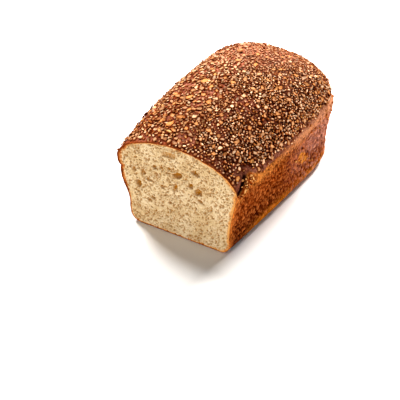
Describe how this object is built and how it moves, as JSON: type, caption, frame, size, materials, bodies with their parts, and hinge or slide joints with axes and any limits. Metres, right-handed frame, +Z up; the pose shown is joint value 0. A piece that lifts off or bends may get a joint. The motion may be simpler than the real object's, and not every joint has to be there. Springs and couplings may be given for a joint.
{
  "type": "multigrain bread loaf",
  "caption": "Pan-baked multigrain loaf cut at one end, with a flared body, a high domed crown crusted with oat flakes and cracked grain, and an open crumb on the cut face.",
  "frame": {"origin": "middle of the base, on the surface that the loaf stands on", "axes": "+X across the loaf, +Y from the cut face to the far end, +Z up"},
  "size_m": [0.131, 0.1965, 0.1148],
  "materials": {
    "crust": "dry baked crust, reddish brown, slightly glossy on the crown",
    "crumb": "soft open crumb, cream to beige, matte",
    "grain": "toasted oat flakes, cracked grain and bran, pale tan to golden"
  },
  "bodies": {
    "root": {"loaf": "crust"}
  },
  "joints": []
}
